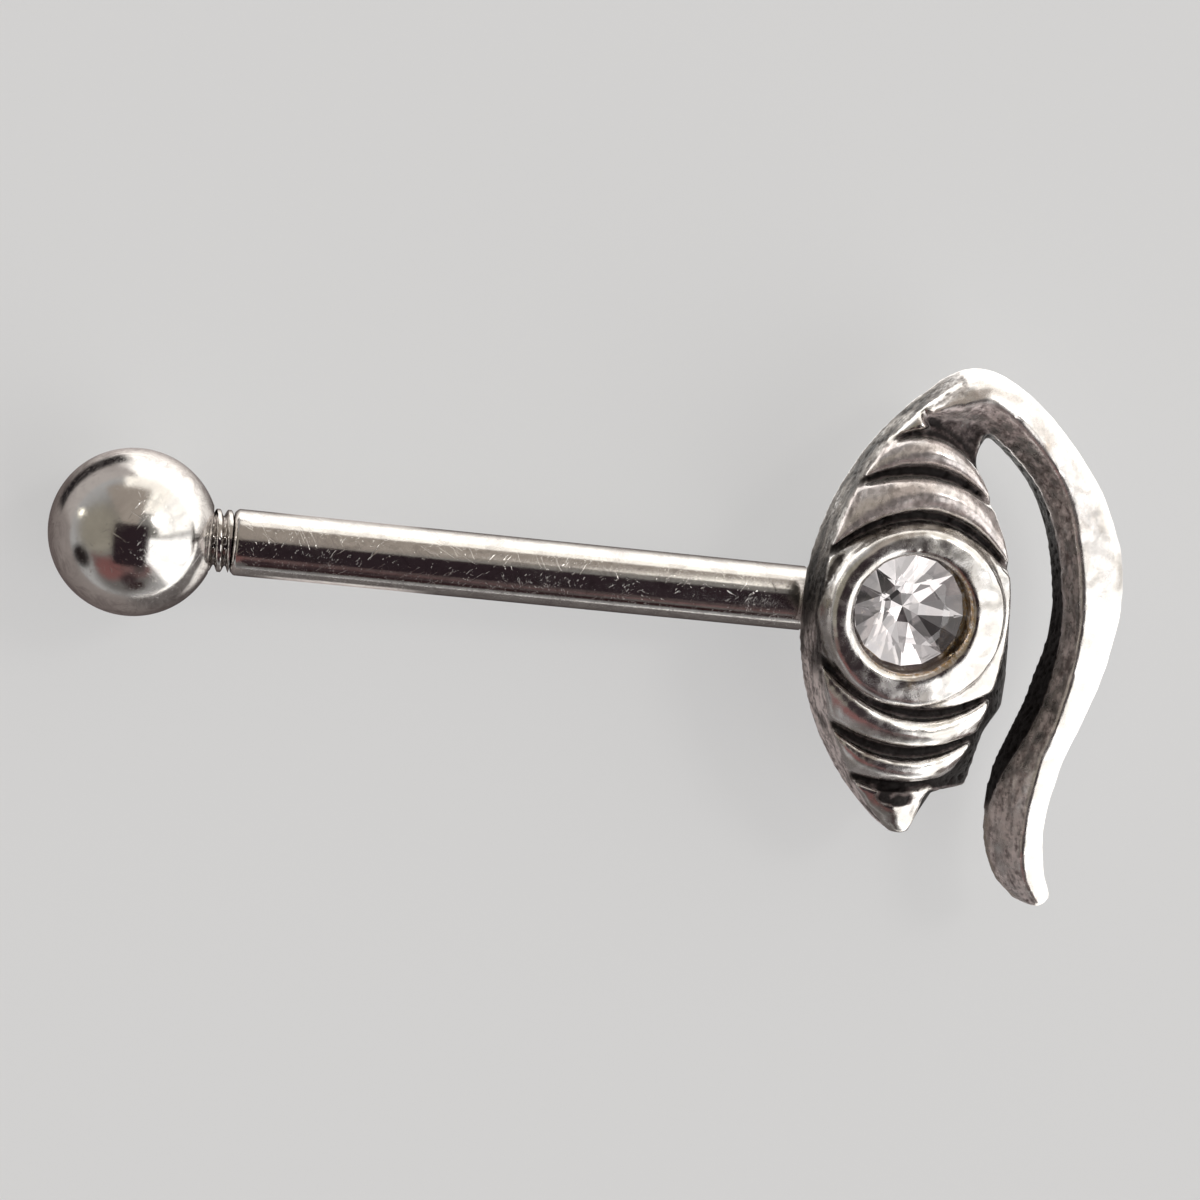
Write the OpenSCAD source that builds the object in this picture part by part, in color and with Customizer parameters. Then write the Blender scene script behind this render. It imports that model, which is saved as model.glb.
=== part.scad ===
// Eyebrow barbell: a straight steel bar with a screw-on ball at one end and, at the other,
// a cast silver head shaped as an upright ribbed eye with a round stone in a raised ring
// and a long curved brow that springs from its top. Lengths are in millimetres.
//
// Modelling frame of the head: u runs along the bar toward the head, v up the eye,
// w out of its face, with the flat back of the casting at w = 0.
// place() then lays the piece on the floor on its ball and its back boss.

/* [Bar] */
// Diameter of the straight steel bar, 16 gauge
bar_d = 1.2; // [1.1:0.05:1.3]
// Bare bar between the thread's shoulder and the head's edge
bar_len = 10.4; // [8:0.1:13]
// Outside diameter of the thread
thread_d = 1.13; // [1.05:0.01:1.15]
// Pitch of the thread
pitch = 0.2; // [0.16:0.01:0.25]
// Thread left in sight between the bar's shoulder and the ball
thread_show = 0.36; // [0.2:0.02:0.6]
// How far the thread goes into the ball
thread_in = 1.7; // [1.3:0.1:1.9]

/* [Ball] */
// Diameter of the screw-on ball
ball_d = 3.0; // [2.9:0.1:3.2]
// Radial play of the thread in the ball
ball_play = 0.03; // [0.02:0.005:0.05]

/* [Eye] */
// Height of the casting's side wall at the middle of the eye
wall_h = 1.2; // [1.1:0.02:1.3]
// How much the domed face rises above the side wall
dome_h = 0.26; // [0.16:0.02:0.32]
// Slope of the left side wall, foot to rim, where it leans most
wall_slope = 0.16; // [0.08:0.02:0.2]
// Depth of the dark grooves
groove_h = 0.28; // [0.16:0.02:0.32]
// Width of the dark grooves, on average
groove_w = 0.25; // [0.2:0.01:0.28]

/* [Ring and stone] */
// Outside diameter of the raised ring
ring_d = 3.36; // [3.24:0.02:3.4]
// Diameter of the ring's opening
opening_d = 2.16; // [2.16:0.02:2.3]
// Height of the ring's crest above the back
ring_h = 1.72; // [1.66:0.02:1.8]
// Diameter of the round stone
stone_d = 2.04; // [1.9:0.02:2.04]
// Depth of the stone's girdle under the ring's crest
stone_set = 0.42; // [0.38:0.02:0.46]
// Flat facets round the stone
facets = 8; // [8:1:12]

/* [Brow] */
// Height of the brow's rounded top above the back
brow_h = 1.2; // [1.1:0.02:1.3]

/* [Back boss] */
// Depth of the boss behind the casting
boss_h = 1.45; // [1.4:0.05:1.6]
// Width of the boss across the bar
boss_w = 2.0; // [1.9:0.05:2.2]
// Play between the bar's end and its bore
seat_play = 0.02; // [0.015:0.005:0.03]

/* [Hidden] */
$fn = 72;

bar_r = bar_d / 2;
chamfer = 0.08;
thread_r = thread_d / 2;
// Depth of a metric thread and width of one of its turns at the root, as shares of the pitch.
thread_depth = 0.613;
turn_w = 0.96;
root_r = thread_r - thread_depth * pitch;
ball_r = ball_d / 2;

// The bar's axis lies just behind the casting's back, in its middle plane.
back_gap = 0.03;
bar_w = -bar_r - back_gap;
// Left foot of the eye, where the bar goes under the casting.
head_u = -1.64;
// The full diameter stops this far under the casting, and a thinner end goes into the boss.
step_in = 0.14;
step_h = 0.16;
step_u = head_u + step_in;
post_r = bar_r - step_h;
boss_u0 = -0.8;
boss_u1 = 1.3;
boss_round = 0.35;
// The boss reaches this far into the casting, and the bar's end stops short of its far side.
boss_in = 0.3;
post_short = 0.22;
post_u = boss_u1 - post_short;
bore_end = 0.05;
bore_out = 1;
shoulder_u = head_u - bar_len;
thread_u = shoulder_u - thread_show - thread_in;
// The ball's mouth is where its surface meets the thread.
ball_u = shoulder_u - thread_show - sqrt(ball_r * ball_r - thread_r * thread_r);

// Centres of the ring, of its opening and of the stone.
ring_c = [0.12, 0.19];
opening_c = [0.02, 0.25];
stone_c = [0.01, 0.28];
girdle_w = ring_h - stone_set;
// Ledge under the stone's girdle.
seat_ledge = 0.05;
seat_r = stone_d / 2 - seat_ledge;
// The ring's side starts inside the eye and ends in a round of these two radii. From its crest
// round the opening, at this radius, its top falls outward by this much before the round.
ring_w0 = 0.4;
ring_lean = 0.12;
ring_round = [0.2, 0.32];
crest_r = 1.0;
crest_fall = 0.08;
// Bevel round the opening, its width and depth on average, and the centre of its cone.
lip = [0.14, 0.12];
lip_c = [-0.03, 0.25];
opening_gap = 0.08;
seat_gap = 0.1;
// Heights and radii of the stone's cut, as shares of its diameter or radius.
crown_h = 0.15 * stone_d;
pavilion_h = 0.43 * stone_d;
girdle_half = 0.02;
table_share = 0.60;
culet_share = 0.06;

// The eye is lofted over rows that run across it. Each row starts on the left side wall at
// height t, bows up above the ring or down below it, and ends a little lower on the right.
t_low = -4.1;
t_tip = -3.99;
t_top = 4.4;
t_step = 0.5;
eye_arc_r = 5.28;
eye_arc_c = [3.62, 0.2];
// Read at every half millimetre from the bottom tip to the top:
// right rim of the face, bow and drop of the rows, rim height, crown height and the left wall's slope.
right_rim = [0.80, 0.90, 1.02, 1.38, 1.62, 1.73, 1.82, 1.90, 1.94, 1.93, 1.87, 1.76, 1.55, 1.32, 1.06,
    1.10, 1.30, 1.40];
row_bow = [0, -0.03, -0.06, -0.20, -0.34, -0.42, -0.54, -0.60, -0.30, 0.12, 0.72, 0.88, 0.64, 0.43, 0.40,
    0.40, 0.18, 0];
row_drop = [0, 0, -0.02, -0.02, 0, 0.10, 0.32, 0.40, 0.25, 0.08, 0, 0.03, 0.08, 0.15, 0.27, 0.36, 0.15, 0];
rim_rel = [0.44, 0.56, 0.68, 0.78, 0.86, 0.92, 0.96, 1.00, 1.00, 1.00, 1.00, 0.98, 0.94, 0.89, 0.84,
    0.79, 0.75, 0.72];
crown_rel = [0.15, 0.30, 0.55, 0.85, 1.00, 1.00, 1.00, 0.90, 0.60, 0.60, 0.90, 1.00, 1.00, 1.00, 0.90,
    0.70, 0.50, 0.20];
slope_rel = [0.40, 0.65, 0.90, 1.00, 1.00, 1.00, 1.00, 0.90, 0.70, 0.50, 0.30, 0.20, 0.15, 0.12, 0.10,
    0.10, 0.10, 0.10];
// Right foot of the side wall, with the corner that stands out near the bottom.
right_foot = [[-4.1, 0.92], [-3.7, 1.16], [-3.24, 1.40], [-3.14, 1.98], [-3.0, 2.02], [-2.5, 2.10],
    [-2.1, 2.18], [-1.85, 2.30], [-1.6, 2.45], [-1.1, 2.47], [-0.6, 2.43], [-0.1, 2.38], [0.4, 2.31],
    [0.9, 2.20], [1.4, 2.02], [1.9, 1.76], [2.4, 1.49], [2.9, 1.26], [3.15, 1.25], [3.4, 1.38],
    [3.9, 1.45], [4.4, 1.45]];
// Grooves, three below the ring and three above it: height t, share of the width at the sides,
// and the same in the middle.
grooves = [[-2.97, 0.95, 1.25], [-2.0, 1.1, 1.6], [-0.80, 0.9, 1.3], [1.17, 0.85, 0.75],
    [2.44, 0.8, 1.6], [3.20, 0.75, 0.75]];
cols = 16;
// The first and last band would end this far beyond the eye.
band_past = [0.3, 0.4];
// Swell of the bands, depth of the hollow beside the brow's root, and least height of the face.
band_h = 0.12;
// Share of the swell that is left at the two sides.
band_side = 0.3;
hollow_h = 0.42;
least_h = 0.12;
// Toward the face's two sides, over this share of its width, the grooves and the hollow get
// shallower, down to this share of their depth.
side_share = 0.08;
side_depth = 0.7;
// The hollow starts at this height; its left border moves this way as it rises.
hollow_t = 3.24;
hollow_s = 0.36;
hollow_lean = 0.62;
hollow_least = 0.04;
// Shares of width and height over which the hollow reaches its depth.
hollow_soft = [0.12, 0.08];
// Farthest apart that two rows of a band may be.
row_gap = 0.16;

// Brow: inner and outer edge at stations from its root to its end, read off the photograph.
brow_in = [[-0.10, 3.70], [0.40, 3.62], [0.95, 3.66], [1.45, 3.40], [1.92, 3.04], [2.32, 2.62],
    [2.62, 2.14], [2.85, 1.60], [3.01, 1.00], [3.12, 0.36], [3.10, -0.26], [2.97, -0.87], [2.83, -1.50],
    [2.62, -2.12], [2.44, -2.76], [2.40, -3.36], [2.46, -4.00], [2.60, -4.45], [2.82, -4.84],
    [3.18, -5.16]];
brow_out = [[0.05, 4.02], [0.42, 4.44], [1.02, 4.68], [1.78, 4.40], [2.46, 3.90], [3.02, 3.34],
    [3.52, 2.74], [3.91, 2.06], [4.17, 1.36], [4.26, 0.60], [4.20, -0.20], [4.06, -0.92], [3.87, -1.56],
    [3.67, -2.18], [3.53, -2.80], [3.46, -3.42], [3.49, -4.00], [3.57, -4.40], [3.68, -4.72],
    [3.80, -4.98]];
brow_rel = [0.98, 1.00, 1.04, 1.04, 1.02, 1.00, 1.00, 1.00, 1.00, 1.00, 0.98, 0.96, 0.94, 0.92, 0.90,
    0.88, 0.84, 0.80, 0.74, 0.66];
brow_steps = 3;
// Crest's share of the width from the inner edge, and the top of the dark inner wall as a share
// of the width and of the height, at each station.
crest_at = [0.47, 0.47, 0.47, 0.44, 0.39, 0.34, 0.25, 0.18, 0.16, 0.16, 0.20, 0.28, 0.34, 0.39, 0.46,
    0.48, 0.46, 0.44, 0.44, 0.44];
wall_in = [0.02, 0.02, 0.02, 0.02, 0.02, 0.02, 0.02, 0.02, 0.02, 0.03, 0.06, 0.12, 0.14, 0.12, 0.07,
    0.02, 0.02, 0.02, 0.02, 0.02];
wall_up = [0.50, 0.50, 0.50, 0.50, 0.50, 0.50, 0.50, 0.50, 0.50, 0.52, 0.55, 0.60, 0.60, 0.58, 0.48,
    0.34, 0.24, 0.20, 0.20, 0.20];
// Reach of the rounded end, as a share of its half width, and how low it ends.
end_reach = 0.5;
end_low = 0.45;
end_turns = [25, 48, 68, 82];
// Points of the cross-section: on that wall, from the wall's top to the crest, and from the crest
// to the outer foot, each as shares of the way across and of the height.
section_wall = [0.75, 0.8];
section_in = [[0.45, 0.50], [0.88, 0.93]];
section_out = [[0.04, 1.00], [0.28, 0.96], [0.53, 0.89], [0.78, 0.77], [0.94, 0.60], [1.00, 0.41],
    [0.95, 0]];

// Smooth curve through the values of a list, at position x counted in list steps.
function spline(p0, p1, p2, p3, f) =
    0.5 * (2 * p1 + (p2 - p0) * f + (2 * p0 - 5 * p1 + 4 * p2 - p3) * f * f
        + (3 * p1 - p0 - 3 * p2 + p3) * f * f * f);
function along(list, x) =
    let (n = len(list) - 1, i = min(floor(max(x, 0)), n - 1), f = x - i)
    spline(list[max(i - 1, 0)], list[i], list[i + 1], list[min(i + 2, n)], f);
function at_t(list, t) = along(list, (t - t_low) / t_step);
function foot_l(t) = eye_arc_c[0] - sqrt(pow(eye_arc_r, 2) - pow(t - eye_arc_c[1], 2));
function rim_l(t) = foot_l(t) + wall_slope * at_t(slope_rel, t);

// One groove's share of its depth at height t, q toward the middle, and the swell of the bands.
function half_w(g) = groove_w * max(g[1], g[2]) / 2;
function dip(t, q, g) = max(0, 1 - pow((t - g[0]) / (groove_w * (g[1] + (g[2] - g[1]) * q) / 2), 4));
function dips(t, q) = max([for (g = grooves) dip(t, q, g)]);
edges = concat([t_low - band_past[0]], [for (g = grooves) each [g[0] - half_w(g), g[0] + half_w(g)]],
    [t_top + band_past[1]]);
function band(t) = max([for (k = [0 : 2 : len(edges) - 1])
    let (x = (2 * t - edges[k] - edges[k + 1]) / (edges[k + 1] - edges[k])) max(0, 1 - x * x)]);
// The dark hollow beside the brow's root.
function ramp(x) = max(0, min(1, x));
function hollow(t, s) =
    ramp((s - max(hollow_least, hollow_s - hollow_lean * (t - hollow_t))) / hollow_soft[0])
    * ramp((t - hollow_t) / hollow_soft[1]);
// Height of the face at height t and share s across it.
function face_h(t, s) =
    let (q = 1 - pow(2 * s - 1, 2),
        skin = wall_h * at_t(rim_rel, t) + dome_h * at_t(crown_rel, t) * q,
        swell = band_h * band(t) * (band_side + (1 - band_side) * q),
        depth = side_depth + (1 - side_depth) * ramp(min(s, 1 - s) / side_share),
        cut = depth * (groove_h * dips(t, q) + hollow_h * hollow(t, s)))
    max(least_h, skin + swell - cut);
function eye_row(t) =
    let (l = rim_l(t), v = t - at_t(row_drop, t), r = at_t(right_rim, v))
    concat([[foot_l(t), t, 0]],
        [for (i = [0 : cols]) let (s = i / cols)
            [l + (r - l) * s, t + (v - t) * s + at_t(row_bow, t) * (1 - pow(2 * s - 1, 2)), face_h(t, s)]],
        [[lookup(v, right_foot), v, 0]]);
// Rows follow the grooves: five across each groove and a few over each band.
groove_rows = [for (g = grooves) for (k = [-1, -0.65, 0, 0.65, 1]) g[0] + k * half_w(g)];
band_ends = concat([t_tip], [for (k = [1 : len(edges) - 2]) edges[k]], [t_top]);
band_rows = [for (k = [0 : 2 : len(band_ends) - 1])
    let (a = band_ends[k], b = band_ends[k + 1], n = max(3, round((b - a) / row_gap)))
    for (i = [(k == 0 ? 0 : 1) : (k == len(band_ends) - 2 ? n : n - 1)]) a + (b - a) * i / n];
function sorted(v) = len(v) <= 1 ? v : let (p = v[floor(len(v) / 2)])
    concat(sorted([for (x = v) if (x < p) x]), [p], sorted([for (x = v) if (x > p) x]));
eye_t = sorted(concat(groove_rows, band_rows));
eye_rows = [for (k = [len(eye_t) - 1 : -1 : 0]) eye_row(eye_t[k])];

function section(x) =
    let (c = along(crest_at, x), e = along(wall_in, x), h = along(wall_up, x))
    concat([[0, 0], [section_wall[0] * e, section_wall[1] * h], [e, h]],
        [for (q = section_in) [e + (c - e) * q[0], h + (1 - h) * q[1]]],
        [for (q = section_out) [c + (1 - c) * q[0], q[1]]]);
function brow_row(x) =
    let (a = along(brow_in, x), b = along(brow_out, x), h = brow_h * along(brow_rel, x))
    [for (q = section(x)) [a[0] + (b[0] - a[0]) * q[0], a[1] + (b[1] - a[1]) * q[0], h * q[1]]];
brow_n = len(brow_in) - 1;
// The end is rounded off by rows that shrink toward its middle.
end_a = brow_in[brow_n];
end_b = brow_out[brow_n];
end_c = (end_a + end_b) / 2;
end_r = norm(end_b - end_a) / 2;
end_dir = [(end_b - end_a)[1], -(end_b - end_a)[0]] / norm(end_b - end_a);
function end_row(g) = [for (p = brow_row(brow_n))
    let (f = [p[0], p[1]] - end_c, m = end_c + f * cos(g) + end_dir * end_reach * end_r * sin(g))
    [m[0], m[1], p[2] * (end_low + (1 - end_low) * cos(g))]];
brow_rows = concat([for (k = [0 : brow_n * brow_steps]) brow_row(k / brow_steps)],
    [for (g = end_turns) end_row(g)]);

// Lay the piece down: it stands on the ball and on the far lower edge of the boss.
reach = boss_u1 - ball_u;
rise = boss_h + bar_w;
tilt = asin(ball_r / norm([reach, rise])) - atan2(rise, reach);
all_points = concat([for (r = eye_rows) each r], [for (r = brow_rows) each r]);
x_max = max([for (p = all_points) p[0] * cos(tilt) + p[2] * sin(tilt)]);
x_min = ball_u * cos(tilt) + bar_w * sin(tilt) - ball_r;
y_mid = (max([for (p = all_points) p[1]]) + min([for (p = all_points) p[1]])) / 2;
z_low = -boss_h * cos(tilt) - boss_u1 * sin(tilt);

module place() {
    translate([-(x_min + x_max) / 2, -y_mid, -z_low])
        rotate([0, tilt, 0])
            children();
}

// Skin over a list of rows with the same number of points, closed by its first and last row.
module loft(rows) {
    n = len(rows[0]);
    m = len(rows) - 1;
    sides = [for (j = [0 : m - 1]) for (i = [0 : n - 1])
        let (a = j * n + i, b = j * n + (i + 1) % n)
        each [[a, b, a + n], [b, b + n, a + n]]];
    polyhedron([for (r = rows) each r],
        concat(sides, [[for (i = [n - 1 : -1 : 0]) i]], [[for (i = [0 : n - 1]) m * n + i]]));
}

module along_bar(u) {
    translate([u, 0, bar_w])
        rotate([0, 90, 0])
            children();
}

module ring_body() {
    r = ring_d / 2;
    translate([ring_c[0], ring_c[1], 0])
        rotate_extrude()
            polygon(concat([[0, ring_w0], [r - ring_lean, ring_w0]],
                [for (a = [0 : 10 : 80])
                    [r - ring_round[0] * (1 - cos(a)), ring_h - crest_fall - ring_round[1] * (1 - sin(a))]],
                [[crest_r, ring_h], [0, ring_h]]));
}

module boss_body() {
    r = boss_round;
    translate([boss_u0, 0, 0])
        rotate([90, 0, 90])
            linear_extrude(boss_u1 - boss_u0)
                union() {
                    translate([-boss_w / 2, -boss_h + r])
                        square([boss_w, boss_h - r + boss_in]);
                    translate([-boss_w / 2 + r, -boss_h])
                        square([boss_w - 2 * r, r + boss_in]);
                    for (s = [-1, 1])
                        translate([s * (boss_w / 2 - r), -boss_h + r])
                            circle(r);
                }
}

module cast_head() {
    color([0.62, 0.61, 0.60])
        place()
            difference() {
                union() {
                    loft(eye_rows);
                    loft(brow_rows);
                    ring_body();
                    boss_body();
                }
                // opening of the ring, its bevelled lip and the seat under the stone
                translate([opening_c[0], opening_c[1], girdle_w - opening_gap])
                    cylinder(h = ring_h, d = opening_d);
                translate([lip_c[0], lip_c[1], ring_h - 2 * lip[1]])
                    cylinder(h = 3 * lip[1], d1 = opening_d - 2 * lip[0], d2 = opening_d + 4 * lip[0]);
                translate([stone_c[0], stone_c[1], girdle_w - pavilion_h - seat_gap])
                    cylinder(h = ring_h, r = seat_r);
                // blind bore for the bar's end
                along_bar(boss_u0 - bore_out)
                    cylinder(h = post_u + bore_end - boss_u0 + bore_out, r = post_r + seat_play);
            }
}

module bar() {
    n = floor((thread_show + thread_in) / pitch);
    run_out = (shoulder_u - thread_u - n * pitch) / 2;
    w = turn_w * pitch;
    color([0.74, 0.74, 0.75])
        place()
            along_bar(0)
                rotate_extrude()
                    polygon(concat(
                        [[0, thread_u], [root_r, thread_u]],
                        [for (k = [0 : n - 1]) let (z = thread_u + run_out + k * pitch + (pitch - w) / 2)
                            each [[root_r, z], [thread_r, z + w / 2], [root_r, z + w]]],
                        [[root_r, shoulder_u], [bar_r - chamfer, shoulder_u],
                            [bar_r, shoulder_u + chamfer], [bar_r, step_u], [post_r, step_u],
                            [post_r, post_u], [0, post_u]]));
}

module ball() {
    color([0.74, 0.74, 0.75])
        place()
            along_bar(ball_u)
                difference() {
                    sphere(ball_r);
                    translate([0, 0, thread_u - ball_u - bore_end])
                        cylinder(h = ball_d, r = thread_r + ball_play);
                }
}

// Round brilliant: flat table, crown facets, thin girdle and a pointed pavilion with a small flat.
module stone() {
    r = stone_d / 2;
    levels = [[culet_share * r, -pavilion_h], [r, -girdle_half], [r, girdle_half],
        [table_share * r, crown_h]];
    pts = [for (l = levels) for (k = [0 : facets - 1])
        let (a = (k + 0.5) * 360 / facets) [l[0] * cos(a), l[0] * sin(a), l[1]]];
    m = len(levels) - 1;
    sides = [for (j = [0 : m - 1]) for (k = [0 : facets - 1])
        let (a = j * facets + k, b = j * facets + (k + 1) % facets)
        [a, a + facets, b + facets, b]];
    color([0.90, 0.92, 0.95])
        place()
            translate([stone_c[0], stone_c[1], girdle_w])
                polyhedron(pts, concat(sides,
                    [[for (k = [0 : facets - 1]) k]],
                    [[for (k = [facets - 1 : -1 : 0]) m * facets + k]]));
}

cast_head();
bar();
ball();
stone();
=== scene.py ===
import math

import bmesh
import bpy
import numpy as np
from mathutils import Matrix, Vector, kdtree, noise


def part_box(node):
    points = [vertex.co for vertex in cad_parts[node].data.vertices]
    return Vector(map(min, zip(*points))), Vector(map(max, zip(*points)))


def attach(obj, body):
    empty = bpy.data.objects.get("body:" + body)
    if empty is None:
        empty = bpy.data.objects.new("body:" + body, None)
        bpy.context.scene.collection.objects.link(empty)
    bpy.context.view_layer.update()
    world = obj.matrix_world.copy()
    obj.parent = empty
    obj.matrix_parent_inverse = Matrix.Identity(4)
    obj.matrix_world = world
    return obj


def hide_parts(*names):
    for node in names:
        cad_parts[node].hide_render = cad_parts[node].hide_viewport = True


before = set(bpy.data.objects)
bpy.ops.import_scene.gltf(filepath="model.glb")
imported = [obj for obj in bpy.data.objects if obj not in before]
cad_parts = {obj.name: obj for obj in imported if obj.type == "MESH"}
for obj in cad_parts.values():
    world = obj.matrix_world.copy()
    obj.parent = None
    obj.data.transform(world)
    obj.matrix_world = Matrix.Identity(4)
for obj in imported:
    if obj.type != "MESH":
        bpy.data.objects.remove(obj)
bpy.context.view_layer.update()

MM = 0.001

# Sizes in mm, as in the part's source
BAR_D, BAR_LEN, THREAD_D, PITCH, THREAD_SHOW, THREAD_IN = 1.2, 10.4, 1.13, 0.2, 0.36, 1.7
BALL_D, BALL_PLAY = 3.0, 0.03
WALL_H, DOME_H, WALL_SLOPE, GROOVE_H, GROOVE_W = 1.2, 0.26, 0.16, 0.28, 0.25
RING_D, OPENING_D, RING_H, STONE_D, STONE_SET, FACETS = 3.36, 2.16, 1.72, 2.04, 0.42, 8
BROW_H, BOSS_H, BOSS_W, SEAT_PLAY = 1.2, 1.45, 2.0, 0.02

# The bar's axis lies just behind the casting's back; the thread's depth is a share of its pitch
THREAD_DEPTH, BACK_GAP = 0.613, 0.03
BAR_R, THREAD_R, BALL_R = BAR_D / 2, THREAD_D / 2, BALL_D / 2
ROOT_R = THREAD_R - THREAD_DEPTH * PITCH
BAR_W = -BAR_R - BACK_GAP
# its full diameter stops under the casting's left foot, and a thinner post goes into the boss
HEAD_U, STEP_IN, STEP_H = -1.64, 0.14, 0.16
STEP_U = HEAD_U + STEP_IN
POST_R = BAR_R - STEP_H
BOSS_U0, BOSS_U1, BOSS_ROUND, BOSS_IN = -0.8, 1.3, 0.35, 0.3
POST_SHORT, BORE_END, BORE_OUT = 0.22, 0.05, 0.2
POST_U = BOSS_U1 - POST_SHORT
SHOULDER_U = HEAD_U - BAR_LEN
THREAD_U = SHOULDER_U - THREAD_SHOW - THREAD_IN
BALL_U = SHOULDER_U - THREAD_SHOW - math.sqrt(BALL_R ** 2 - THREAD_R ** 2)
BALL_BORE_END, MOUTH_BEVEL = 0.1, 0.02
# the thread's end is thinner by its lead, its turns stop this far from either end, and their crests are flat
THREAD_LEAD, THREAD_STOP, THREAD_ROW, CREST_FLAT = 0.04, 0.02, 0.03, 1.35
# the shoulder's rounded chamfer: how far in from the bar's surface, and how far along from its end
SHOULDER_ROUND = [(0.08, 0), (0.06, 0.01), (0.012, 0.058), (0, 0.09)]

# Ring, its opening with a bevelled lip, the ledge under the stone, and the stone
RING_C, OPENING_C, STONE_C = (0.12, 0.19), (0.02, 0.25), (0.01, 0.28)
RING_W0, RING_LEAN, RING_ROUND, CREST_R, CREST_FALL = 0.4, 0.12, (0.2, 0.32), 1.0, 0.08
LIP, LIP_C = (0.14, 0.12), (-0.03, 0.25)
GIRDLE_W = RING_H - STONE_SET
OPENING_GAP, SEAT_LEDGE, SEAT_GAP = 0.08, 0.05, 0.1
SEAT_R = STONE_D / 2 - SEAT_LEDGE
# the stone's cut: heights from its girdle, and shares of its radius, of its crown and of its pavilion
CROWN_H, PAVILION_H, GIRDLE_HALF = 0.15 * STONE_D, 0.43 * STONE_D, 0.02
TABLE_SHARE, KITE_SHARE, GIRDLE_SHARE, LOWER_SHARE = 0.58, 0.80, 0.995, 0.28
KITE_RISE, LOWER_FALL = 0.55, 0.74

# The eye is lofted over rows that run across it, each from height t on its left side wall. At every
# half millimetre from its tip up: right rim of the face, bow and drop of the rows, and shares of the
# rim's height, of the crown's height and of the left wall's slope.
T_LOW, T_TIP, T_TOP, T_STEP = -4.1, -3.99, 4.4, 0.5
RIGHT_RIM = [0.80, 0.90, 1.02, 1.38, 1.62, 1.73, 1.82, 1.90, 1.94, 1.93, 1.87, 1.76, 1.55, 1.32, 1.06,
             1.10, 1.30, 1.40]
ROW_BOW = [0, -0.03, -0.06, -0.20, -0.34, -0.42, -0.54, -0.60, -0.30, 0.12, 0.72, 0.88, 0.64, 0.43, 0.40,
           0.40, 0.18, 0]
ROW_DROP = [0, 0, -0.02, -0.02, 0, 0.10, 0.32, 0.40, 0.25, 0.08, 0, 0.03, 0.08, 0.15, 0.27, 0.36, 0.15, 0]
RIM_REL = [0.44, 0.56, 0.68, 0.78, 0.86, 0.92, 0.96, 1, 1, 1, 1, 0.98, 0.94, 0.89, 0.84, 0.79, 0.75, 0.72]
CROWN_REL = [0.15, 0.30, 0.55, 0.85, 1, 1, 1, 0.90, 0.60, 0.60, 0.90, 1, 1, 1, 0.90, 0.70, 0.50, 0.20]
SLOPE_REL = [0.40, 0.65, 0.90, 1, 1, 1, 1, 0.90, 0.70, 0.50, 0.30, 0.20, 0.15, 0.12, 0.10, 0.10, 0.10, 0.10]
# foot of the left side wall, an arc, and of the right one
ARC_R, ARC_C = 5.28, (3.62, 0.2)
RIGHT_FOOT = [(-4.1, 0.92), (-3.7, 1.16), (-3.24, 1.40), (-3.14, 1.98), (-3.0, 2.02), (-2.5, 2.10),
              (-2.1, 2.18), (-1.85, 2.30), (-1.6, 2.45), (-1.1, 2.47), (-0.6, 2.43), (-0.1, 2.38),
              (0.4, 2.31), (0.9, 2.20), (1.4, 2.02), (1.9, 1.76), (2.4, 1.49), (2.9, 1.26), (3.15, 1.25),
              (3.4, 1.38), (3.9, 1.45), (4.4, 1.45)]
# grooves: height t, and shares of their width at the sides and in the middle
GROOVES = [(-2.97, 0.95, 1.25), (-2.0, 1.1, 1.6), (-0.80, 0.9, 1.3), (1.17, 0.85, 0.75), (2.44, 0.8, 1.6),
           (3.20, 0.75, 0.75)]
# swell of the bands between them, how much of it is left at the sides, and how far the end bands reach out
BAND_H, BAND_SIDE, BAND_PAST = 0.12, 0.3, (0.3, 0.4)
# toward the two sides, over this share of the width, grooves and hollow keep this share of their depth
SIDE_SHARE, SIDE_DEPTH = 0.08, 0.7
# the hollow beside the brow's root, its left border and its soft edges, and the least height of the face
HOLLOW_H, HOLLOW_T, HOLLOW_S, HOLLOW_LEAN, HOLLOW_LEAST = 0.42, 3.24, 0.36, 0.62, 0.04
HOLLOW_SOFT, LEAST_H = (0.12, 0.08), 0.12

# Brow: inner and outer edge at stations from its root to its end
BROW_IN = [(-0.10, 3.70), (0.40, 3.62), (0.95, 3.66), (1.45, 3.40), (1.92, 3.04), (2.32, 2.62), (2.62, 2.14),
           (2.85, 1.60), (3.01, 1.00), (3.12, 0.36), (3.10, -0.26), (2.97, -0.87), (2.83, -1.50),
           (2.62, -2.12), (2.44, -2.76), (2.40, -3.36), (2.46, -4.00), (2.60, -4.45), (2.82, -4.84),
           (3.18, -5.16)]
BROW_OUT = [(0.05, 4.02), (0.42, 4.44), (1.02, 4.68), (1.78, 4.40), (2.46, 3.90), (3.02, 3.34), (3.52, 2.74),
            (3.91, 2.06), (4.17, 1.36), (4.26, 0.60), (4.20, -0.20), (4.06, -0.92), (3.87, -1.56),
            (3.67, -2.18), (3.53, -2.80), (3.46, -3.42), (3.49, -4.00), (3.57, -4.40), (3.68, -4.72),
            (3.80, -4.98)]
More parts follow.
